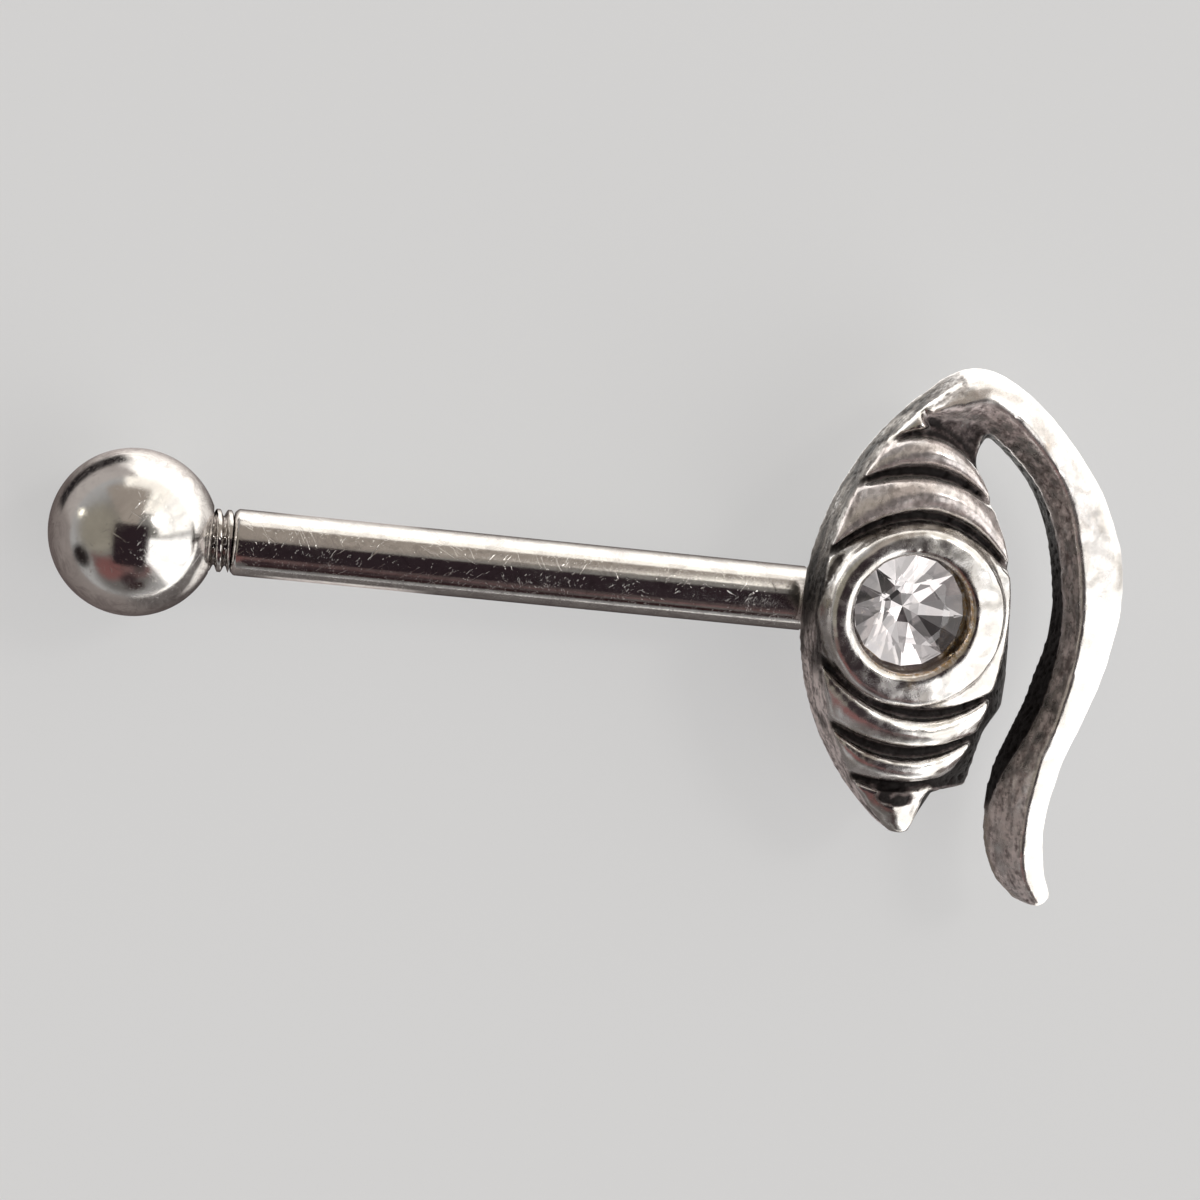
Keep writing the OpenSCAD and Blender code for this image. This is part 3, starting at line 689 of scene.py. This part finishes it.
def make_stone(glass, foil):
    """Round brilliant of the stone's size: table, stars, kites, girdle and a foiled pavilion."""
    r = STONE_D / 2
    turn = math.pi / FACETS

    def circle(radius, height, n, offset):
        angles = [2 * math.pi * k / n + offset for k in range(n)]
        return [(STONE_C[0] + radius * math.cos(a), STONE_C[1] + radius * math.sin(a), GIRDLE_W + height)
                for a in angles]

    n, m = FACETS, 2 * FACETS
    table = circle(TABLE_SHARE * r, CROWN_H, n, turn)
    kites = circle(KITE_SHARE * r, KITE_RISE * CROWN_H, n, 0)
    high = circle(GIRDLE_SHARE * r, GIRDLE_HALF, m, turn)
    low = circle(GIRDLE_SHARE * r, -GIRDLE_HALF, m, turn)
    lower = circle(LOWER_SHARE * r, -LOWER_FALL * PAVILION_H, n, turn)
    tip = [(*STONE_C, GIRDLE_W - PAVILION_H)]
    points = table + kites + high + low + lower + tip
    at_kite, at_high, at_low, at_lower, at_tip = n, 2 * n, 2 * n + m, 2 * n + 2 * m, 3 * n + 2 * m
    faces = [list(range(n))]
    kinds = [CLEAR]

    def add(kind, *f):
        faces.append(list(f))
        kinds.append(kind)

    for k in range(n):
        after = (k + 1) % n
        kite = at_kite + after
        first, middle, last = at_high + 2 * k, at_high + 2 * k + 1, at_high + (2 * k + 2) % m
        add(CLEAR, k, after, kite)
        add(CLEAR, k, kite, first)
        add(CLEAR, after, last, kite)
        add(CLEAR, kite, middle, first)
        add(CLEAR, kite, last, middle)
        first, middle, last = at_low + 2 * k, at_low + 2 * k + 1, at_low + (2 * k + 2) % m
        add(FOILED, first, middle, at_lower + k)
        add(FOILED, middle, last, at_lower + after)
        add(FOILED, middle, at_lower + after, at_lower + k)
        add(FOILED, at_lower + after, at_tip, at_lower + k)
    for k in range(m):
        add(CLEAR, at_high + k, at_high + (k + 1) % m, at_low + (k + 1) % m, at_low + k)
    stone = make_mesh("stone_crystal", place(points), faces)
    stone.data.materials.append(glass)
    stone.data.materials.append(foil)
    stone.data.polygons.foreach_set("material_index", kinds)
    # each foiled facet gets its own share of painted brightness
    painted_sparkle = [kind * FOIL_PAINTED_SPARKLE[(i * 5 + 6) % len(FOIL_PAINTED_SPARKLE)] for i, kind in enumerate(kinds)]
    stone.data.attributes.new("facet", "FLOAT", "FACE").data.foreach_set("value", painted_sparkle)
    return stone


# Materials; colours are linear
SILVER_PALE, SILVER_GREY, GOLDEN = (0.80, 0.78, 0.765), (0.56, 0.535, 0.505), (0.42, 0.27, 0.11)
OXIDE_BROWN, OXIDE_PALE, OXIDE_BLACK = (0.048, 0.034, 0.035), (0.235, 0.192, 0.187), (0.006, 0.004, 0.004)
FLANK_DARK, FLANK_PALE = (0.045, 0.038, 0.035), (0.20, 0.18, 0.165)
SATIN_DARK, SATIN_PALE = (0.25, 0.20, 0.197), (0.98, 0.87, 0.855)
STEEL_PALE, STEEL_GREY, STEEL_SMEAR = (0.70, 0.68, 0.655), (0.60, 0.575, 0.555), (0.33, 0.30, 0.295)
# the rim colour is painted shade: a dark edge where the steel is seen edge-on
STEEL_PAINTED_RIM_SHADE, STEEL_TINT = (0.16, 0.145, 0.14), (0.45, 0.42, 0.42)
GLASS_CLEAR, GLASS_BLUISH, GLASS_IOR = (1, 1, 1), (0.95, 0.955, 0.97), 1.54
# the foil's dark and bright colours are painted reflections, given to its facets by their shares
FOIL_PAINTED_DARK, FOIL_PAINTED_BRIGHT, FOIL_SPOT = (0.05, 0.037, 0.04), (1.0, 0.98, 0.975), (0.70, 0.62, 0.50)
# the foil's glow colour and strength are painted light: the foil glows though it is no lamp
FOIL_PAINTED_GLOW, FOIL_PAINTED_GLOW_STRENGTH = (1.0, 0.955, 0.945), 0.72
FLOOR_DARK, FLOOR_PALE = (0.215, 0.215, 0.215), (0.23, 0.23, 0.23)
FLOOR_GLOW, FLOOR_STRENGTH = (1, 1, 1), 0.485
# the table's colours are painted light and shade, shown only in the metal's reflections
TABLE_PAINTED_DIM, TABLE_PAINTED_DIM_LEFT = (0.20, 0.183, 0.178), (0.35, 0.31, 0.295)
TABLE_PAINTED_LIT, TABLE_PAINTED_EDGE = (2.1, 2.06, 1.98), (0.03, 0.026, 0.028)


class Nodes:
    """Short way to write a node tree; a colour is given as three numbers."""

    def __init__(self, tree):
        self.tree = tree
        tree.nodes.clear()

    def add(self, kind, inputs=None, **settings):
        node = self.tree.nodes.new(kind)
        for key, value in settings.items():
            setattr(node, key, value)
        for key, value in (inputs or {}).items():
            self.set(node, key, value)
        return node

    def set(self, node, key, value):
        socket = node.inputs[key]
        if isinstance(value, bpy.types.NodeSocket):
            self.tree.links.new(value, socket)
        else:
            socket.default_value = (*value, 1) if socket.type == "RGBA" else value

    def math(self, op, a, b=0.0):
        return self.add("ShaderNodeMath", {0: a, 1: b}, operation=op).outputs[0]

    def plus(self, a, b):
        return self.math("ADD", a, b)

    def less(self, value):
        """One less the value."""
        return self.math("SUBTRACT", 1.0, value)

    def times(self, *values):
        product = values[0]
        for value in values[1:]:
            product = self.math("MULTIPLY", product, value)
        return product

    def swing(self, value, share):
        """A noise about its middle, as a share of its swing."""
        return self.times(self.math("SUBTRACT", value, 0.5), share)

    def span(self, value, low, high, to_low=0.0, to_high=1.0):
        return self.add("ShaderNodeMapRange", {0: value, 1: low, 2: high, 3: to_low, 4: to_high},
                        interpolation_type="SMOOTHSTEP").outputs[0]

    def mix(self, share, a, b):
        return self.add("ShaderNodeMix", {0: share, 6: a, 7: b}, data_type="RGBA").outputs[2]

    def noise(self, vector, scale, detail=3.0, rough=0.55, distort=0.0):
        return self.add("ShaderNodeTexNoise", {"Vector": vector, "Scale": scale, "Detail": detail,
                                               "Roughness": rough, "Distortion": distort}).outputs[0]

    def painted(self, name):
        return self.add("ShaderNodeAttribute", attribute_name=name).outputs["Fac"]

    def bump(self, strength, distance, height):
        return self.add("ShaderNodeBump", {"Strength": strength, "Distance": distance,
                                           "Height": height}).outputs[0]


def new_material(name):
    """A material, its nodes, its shader and the object's coordinates in mm."""
    material = bpy.data.materials.new(name)
    material.use_nodes = True
    nodes = Nodes(material.node_tree)
    shader = nodes.add("ShaderNodeBsdfPrincipled")
    out = nodes.add("ShaderNodeOutputMaterial")
    nodes.tree.links.new(shader.outputs[0], out.inputs[0])
    where = nodes.add("ShaderNodeTexCoord").outputs["Object"]
    mm = nodes.add("ShaderNodeMapping", {"Vector": where, "Scale": (1 / MM,) * 3}).outputs[0]
    return material, nodes, shader, mm


def silver_material():
    """Silver, oxidised dark in its hollows and with painted shade under the stone, golden tarnish, a brushed
    flank and satin where unpolished.
    """
    material, n, shader, mm = new_material("oxidised_silver")
    patina_and_shade, satin = n.painted("patina_and_shade"), n.painted("satin")
    grain = n.noise(mm, 11.0, 5.0, 0.65)
    fine = n.noise(mm, 34.0, 4.0, 0.7)
    slow = n.noise(mm, 1.9, 3.0, 0.5, 0.6)
    # the dark oxide keeps to the hollows, broken at its edge by the grain and specked where it is thin
    dark = n.span(n.plus(patina_and_shade, n.swing(grain, 0.75)), 0.26, 0.70)
    speck = n.times(n.span(fine, 0.58, 0.72), n.span(patina_and_shade, 0.85, 0.5, 0.0, 0.35))
    dark = n.times(dark, n.less(speck))
    silver = n.mix(n.span(slow, 0.38, 0.62), SILVER_PALE, SILVER_GREY)
    silver = n.mix(n.times(n.painted("tarnish"), n.span(grain, 0.30, 0.60)), silver, GOLDEN)
    # the flank is brushed along its length
    long = n.add("ShaderNodeMapping", {"Vector": mm, "Scale": (1.0, 0.22, 1.0)}).outputs[0]
    brushed = n.plus(n.noise(long, 8.0, 5.0, 0.6), n.swing(slow, 0.5))
    oxide_and_shade = n.mix(n.span(grain, 0.36, 0.70), OXIDE_BROWN, OXIDE_PALE)
    oxide_and_shade = n.mix(n.painted("flank"), oxide_and_shade, n.mix(n.span(brushed, 0.36, 0.66), FLANK_DARK, FLANK_PALE))
    oxide_and_shade = n.mix(n.span(patina_and_shade, 0.66, 0.94, 0.0, 0.94), oxide_and_shade, OXIDE_BLACK)
    worn_satin = n.mix(n.span(n.plus(brushed, n.swing(grain, 0.9)), 0.30, 0.66), SATIN_DARK, SATIN_PALE)
    satin = n.times(satin, n.span(patina_and_shade, 0.95, 0.60, 0.15, 1.0))
    n.set(shader, "Base Color", n.mix(satin, n.mix(dark, silver, oxide_and_shade), worn_satin))
    n.set(shader, "Metallic", n.times(n.span(dark, 0.0, 1.0, 1.0, 0.55), n.less(n.times(satin, 0.75))))
    worn = n.span(n.noise(mm, 4.0, 4.0, 0.6), 0.35, 0.7, 0.18, 0.33)
    rough = n.add("ShaderNodeMix", {0: dark, 2: worn, 3: 0.52}, data_type="FLOAT").outputs[0]
    n.set(shader, "Roughness", rough)
    height = n.plus(grain, n.times(fine, 0.5))
    n.set(shader, "Normal", n.bump(n.span(dark, 0.25, 1.0, 0.08, 0.8), 0.00003, height))
    return material


def steel_material(name, on_bar):
    """Polished steel with haze, smears, hair scratches and nicks; the bar is smeared less and evenly. Its
    dark rim where it is seen edge-on is painted shade, and on the ball the smears show only toward its edges,
    partly as painted shade.
    """
    material, n, shader, mm = new_material(name)
    haze = n.noise(mm, 1.1, 4.0, 0.6, 0.5)
    rub = n.noise(mm, 6.0, 6.0, 0.75, 1.5)
    facing = n.add("ShaderNodeLayerWeight", {"Blend": 0.5}).outputs["Facing"]
    smear = n.span(n.noise(mm, 2.4, 5.0, 0.72, 1.4), 0.44, 0.66, 0.0, 0.35 if on_bar else 0.62)
    # on the ball the real smears are kept only where the surface turns from the view, which makes them partly
    # painted shade at its edges
    smear = smear if on_bar else n.times(smear, n.span(facing, 0.30, 0.60))
    steel = n.mix(n.span(haze, 0.35, 0.65), STEEL_PALE, STEEL_GREY)
    steel = n.mix(smear, steel, STEEL_SMEAR)
    # painted shade: the colour turns to the dark rim colour where the surface is seen edge-on
    n.set(shader, "Base Color", n.mix(n.span(facing, 0.80, 0.98), steel, STEEL_PAINTED_RIM_SHADE))
    n.set(shader, "Metallic", 1.0)
    n.set(shader, "Specular Tint", STEEL_TINT)
    roughest, rare = (0.19, 0.655) if on_bar else (0.24, 0.68)
    n.set(shader, "Roughness", n.span(n.times(haze, rub), 0.15, 0.42, 0.09, roughest))
    # short straight scratches in a few directions, and small nicks
    hair = 0.0
    for k, turn in enumerate((0.5, 1.1, 2.2, 2.9)):
        turned_to = {"Vector": mm, "Rotation": (0.3 * turn, 0.2 * turn, turn)}
        way = n.add("ShaderNodeMapping", turned_to).outputs[0]
        drawn_out = {"Vector": way, "Location": (3.1 * k, 1.7 * k, 0.9 * k), "Scale": (1.0, 26.0, 26.0)}
        way = n.add("ShaderNodeMapping", drawn_out).outputs[0]
        scratches = n.span(n.noise(way, 0.9, 2.0, 0.5), rare, rare + 0.045)
        patches = n.span(n.noise(mm, 0.8 + 0.2 * k, 2.0), 0.42, 0.56)
        hair = n.math("MAXIMUM", hair, n.times(scratches, patches))
    nick = n.span(n.noise(mm, 13.0, 3.0, 0.6), 0.68, 0.78)
    height = n.plus(n.times(rub, 0.35), n.times(hair, -0.55))
    height = n.plus(height, n.times(nick, -0.45))
    n.set(shader, "Normal", n.bump(0.28, 0.000012, height))
    return material


def glass_material():
    material, n, shader, mm = new_material("clear_glass")
    faint = n.noise(mm, 8.0, 3.0, 0.6)
    n.set(shader, "Base Color", n.mix(n.span(faint, 0.4, 0.7), GLASS_CLEAR, GLASS_BLUISH))
    n.set(shader, "Roughness", n.span(faint, 0.5, 0.8, 0.0, 0.015))
    n.set(shader, "IOR", GLASS_IOR)
    n.set(shader, "Transmission Weight", 1.0)
    return material


def foil_material():
    """Mirror foil behind the stone; each facet gets its own painted brightness and a painted glow, in place
    of the light it would throw back.
    """
    material, n, shader, mm = new_material("foil")
    share = n.painted("facet")
    spots = n.noise(mm, 6.0, 4.0, 0.6)
    # painted reflection: each facet's foil colour runs from dark to bright by its share
    colour = n.mix(share, FOIL_PAINTED_DARK, FOIL_PAINTED_BRIGHT)
    n.set(shader, "Base Color", n.mix(n.span(spots, 0.62, 0.85), colour, FOIL_SPOT))
    n.set(shader, "Metallic", 1.0)
    n.set(shader, "Roughness", n.span(spots, 0.4, 0.8, 0.05, 0.10))
    # painted light: each foiled facet glows by its own share
    n.set(shader, "Emission Color", FOIL_PAINTED_GLOW)
    n.set(shader, "Emission Strength", n.times(share, FOIL_PAINTED_GLOW_STRENGTH))
    return material


def floor_material():
    """Pale and evenly bright; the metal mirrors a glowing table with painted light toward the windows,
    painted dim tones elsewhere and a painted dark edge.
    """
    material, n, shader, mm = new_material("floor")
    cloud = n.noise(mm, 0.05, 3.0, 0.5)
    n.set(shader, "Base Color", n.mix(cloud, FLOOR_DARK, FLOOR_PALE))
    n.set(shader, "Roughness", n.span(cloud, 0.3, 0.7, 0.75, 0.85))
    n.set(shader, "Emission Color", FLOOR_GLOW)
    n.set(shader, "Emission Strength", FLOOR_STRENGTH)
    x, y = n.add("ShaderNodeSeparateXYZ", {0: mm}).outputs[:2]
    # painted pools of light toward the windows, beside the head and in a patch by the bar
    painted_lit = n.times(n.span(y, 0.5, 3.2), n.span(x, -10.8, -8.8, 0.12, 1.0))
    beside = n.times(n.span(x, 8.5, 11.0), n.span(y, 0.0, 1.5, 1.0, 0.38))
    near = n.times(n.span(x, -6.2, -5.2), n.span(x, -3.6, -2.6, 0.6, 0.0), n.span(y, -3.4, -2.4))
    painted_lit = n.math("MAXIMUM", n.math("MAXIMUM", painted_lit, beside), near)
    # the table's painted dark edge, mirrored by the ball as an arc round this x
    arc_x = -8.3
    far = n.math("SQRT", n.plus(n.math("POWER", n.plus(x, -arc_x), 2.0), n.math("POWER", y, 2.0)))
    edge = n.times(n.span(far, 2.8, 3.5), n.span(far, 5.0, 6.2, 1.0, 0.0))
    edge = n.times(edge, n.span(x, -8.6, -9.4), n.span(y, 0.6, 1.4))
    glow = n.mix(painted_lit, n.mix(n.span(x, -5.5, -9.5), TABLE_PAINTED_DIM, TABLE_PAINTED_DIM_LEFT), TABLE_PAINTED_LIT)
    table = n.add("ShaderNodeEmission", {"Color": n.mix(edge, glow, TABLE_PAINTED_EDGE)})
    # glossy rays see the glowing table with its painted light and shade instead of the floor
    mirrored = n.add("ShaderNodeLightPath").outputs["Is Glossy Ray"]
    both = n.add("ShaderNodeMixShader", {0: mirrored, 1: shader.outputs[0], 2: table.outputs[0]})
    out = next(node for node in n.tree.nodes if node.type == "OUTPUT_MATERIAL")
    n.tree.links.new(both.outputs[0], out.inputs[0])
    return material


# Camera, floor, lamp and room; x points to the picture's right, y to its top and z up. The camera's
# place is in mm and its roll in degrees, the floor and the lamp are in metres.
CAMERA_AT = (-6.33471826, 8.11380737, 49.62045378)
CAMERA_LOOK = (0.13222836, -0.16590651, -0.97723625)
CAMERA_ROLL, LENS, SENSOR = 7.3005, 81, 36
FLOOR_RINGS, FLOOR_CORNERS = (0.02, 0.1, 0.4, 1.2), 96
LAMP_AT, LAMP_SIZE, LAMP_POWER, LAMP_COLOUR = (0.30, 0.24, 0.40), 0.10, 0.4, (1.0, 0.985, 0.955)
ROOM_LOW, ROOM_HIGH = (0.50, 0.50, 0.50), (0.25, 0.24, 0.225)


def make_camera():
    """Seen from nearly above, from the head's left and a little from its top, as photographed."""
    data = bpy.data.cameras.new("camera")
    data.lens = LENS
    data.sensor_width = SENSOR
    data.clip_start = 0.001
    data.clip_end = 10
    camera = bpy.data.objects.new("camera", data)
    look = Vector(CAMERA_LOOK)
    roll = math.radians(CAMERA_ROLL)
    right = look.cross(Vector((0, 1, 0))).normalized()
    up = right.cross(look)
    right, up = right * math.cos(roll) + up * math.sin(roll), up * math.cos(roll) - right * math.sin(roll)
    turn = Matrix((right, up, -look)).transposed().to_4x4()
    camera.matrix_world = Matrix.Translation(Vector(CAMERA_AT) * MM) @ turn
    bpy.context.scene.collection.objects.link(camera)
    bpy.context.scene.camera = camera


def make_floor(material):
    """Round floor, far larger than the part."""
    n = FLOOR_CORNERS
    points = [(r * math.cos(2 * math.pi * k / n), r * math.sin(2 * math.pi * k / n), 0)
              for r in FLOOR_RINGS for k in range(n)]
    floor = make_mesh("floor", points, grid_faces(len(FLOOR_RINGS), n) + [list(range(n))], material)


def make_lamp():
    """Small lamp over the table, turned to the part."""
    data = bpy.data.lights.new("lamp", "AREA")
    data.shape = "RECTANGLE"
    data.size = data.size_y = LAMP_SIZE
    data.energy = LAMP_POWER
    data.color = LAMP_COLOUR
    light = bpy.data.objects.new("lamp", data)
    light.location = LAMP_AT
    light.rotation_euler = (-Vector(LAMP_AT)).to_track_quat("-Z", "Y").to_euler()
    bpy.context.scene.collection.objects.link(light)


def make_world():
    """A pale room with tall windows to the right and beyond the top edge, dim straight overhead."""
    world = bpy.data.worlds.new("studio")
    bpy.context.scene.world = world
    world.use_nodes = True
    n = Nodes(world.node_tree)
    way = n.add("ShaderNodeTexCoord").outputs["Generated"]
    x, y, z = n.add("ShaderNodeSeparateXYZ", {0: way}).outputs
    away = n.times(y, -1.0)

    def inside(value, low, high, soft):
        rise = n.span(value, low - soft, low + soft)
        return n.times(rise, n.span(value, high - soft, high + soft, 1.0, 0.0))

    def pane(ahead, across, up, left, right, low, high, soft=0.05, uprights=(), rails=()):
        """1 inside a rectangle on the plane one unit ahead, less where its bars cross it."""
        depth = n.math("MAXIMUM", ahead, 0.05)
        flat = inside(n.math("DIVIDE", across, depth), left, right, soft)
        tall = inside(n.math("DIVIDE", up, depth), low, high, soft)
        share = n.times(flat, tall, n.span(ahead, 0.05, 0.10))
        for value, bars in ((across, uprights), (up, rails)):
            for at in bars:
                bar = inside(n.math("DIVIDE", value, depth), at - 0.02, at + 0.02, 0.012)
                share = n.times(share, n.less(n.times(bar, 0.75)))
        return share

    def patch(direction, inner, outer):
        """1 within inner degrees of a direction, 0 past outer degrees."""
        toward = {0: way, 1: tuple(Vector(direction).normalized())}
        dot = n.add("ShaderNodeVectorMath", toward, operation="DOT_PRODUCT").outputs["Value"]
        return n.span(dot, math.cos(math.radians(outer)), math.cos(math.radians(inner)))

    # each later layer covers the ones before it
    right = pane(x, y, z, 0.16, 1.4, -0.2, 1.35, uprights=(0.52, 0.95), rails=(0.60,))
    low_right = pane(x, y, z, -1.25, 0.04, -0.2, 2.20, 0.12, uprights=(-0.55,), rails=(0.75, 1.5))
    beyond = n.math("MAXIMUM", pane(y, x, z, 0.34, 0.85, -0.2, 1.30, uprights=(0.56,), rails=(0.62,)),
                    pane(y, x, z, -0.25, 0.85, -0.2, 0.30))
    layers = [
        # dull walls at the left and at the near side, and a dark place low at the left
        (patch((-0.70, 0.10, 0.70), 18, 40), (0.36, 0.335, 0.28)),
        (patch((-0.10, -0.80, 0.60), 20, 40), (0.17, 0.16, 0.155)),
        (patch((-0.85, -0.48, 0.22), 8, 16), (0.02, 0.015, 0.015)),
        # beige wall beyond, and mauve and dark places at the near side
        (pane(y, x, z, -0.70, 0.34, 0.20, 3.0, 0.08), (0.42, 0.37, 0.325)),
        (pane(z, x, y, -1.5, 0.8, -1.50, -0.74, 0.12), (0.20, 0.12, 0.115)),
        (pane(away, x, z, 0.0, 0.34, 0.24, 0.50), (0.03, 0.012, 0.012)),
        (patch((-0.38, -0.70, 0.60), 6, 22), (0.24, 0.11, 0.105)),
        (patch((0.02, -0.84, 0.52), 4, 13), (0.05, 0.032, 0.035)),
        (patch((0.22, -0.66, 0.72), 3, 10), (0.09, 0.07, 0.07)),
        # dark straight overhead
        (pane(z, x, y, -0.46, 0.42, -0.80, 0.36), (0.028, 0.018, 0.022)),
        # windows, and a small bright one low at the left
        (right, (1.75, 1.72, 1.65)),
        (low_right, (2.1, 2.07, 2.03)),
        (beyond, (1.6, 1.54, 1.42)),
        (patch((-0.94, 0.28, 0.17), 3, 5), (3.0, 2.85, 2.4)),
    ]
    colour = n.mix(n.span(z, 0.0, 0.8), ROOM_LOW, ROOM_HIGH)
    for share, tint in layers:
        colour = n.mix(share, colour, tint)
    back = n.add("ShaderNodeBackground", {"Color": colour, "Strength": 1.0})
    out = n.add("ShaderNodeOutputWorld")
    n.tree.links.new(back.outputs[0], out.inputs[0])


make_camera()
make_world()
make_floor(floor_material())
make_lamp()

head = make_head(silver_material())
bar = make_bar(steel_material("polished_steel_bar", on_bar=True))
ball = make_ball(steel_material("polished_steel", on_bar=False))
stone = make_stone(glass_material(), foil_material())
for piece, node, body, slot in ((head, "cast_head", "barbell", "oxidised_silver"),
                                (bar, "bar", "barbell", "polished_steel"),
                                (ball, "ball", "end_ball", "polished_steel"),
                                (stone, "stone", "barbell", "clear_glass")):
    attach(piece, body)
    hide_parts(node)

bpy.context.scene.view_settings.view_transform = "Standard"
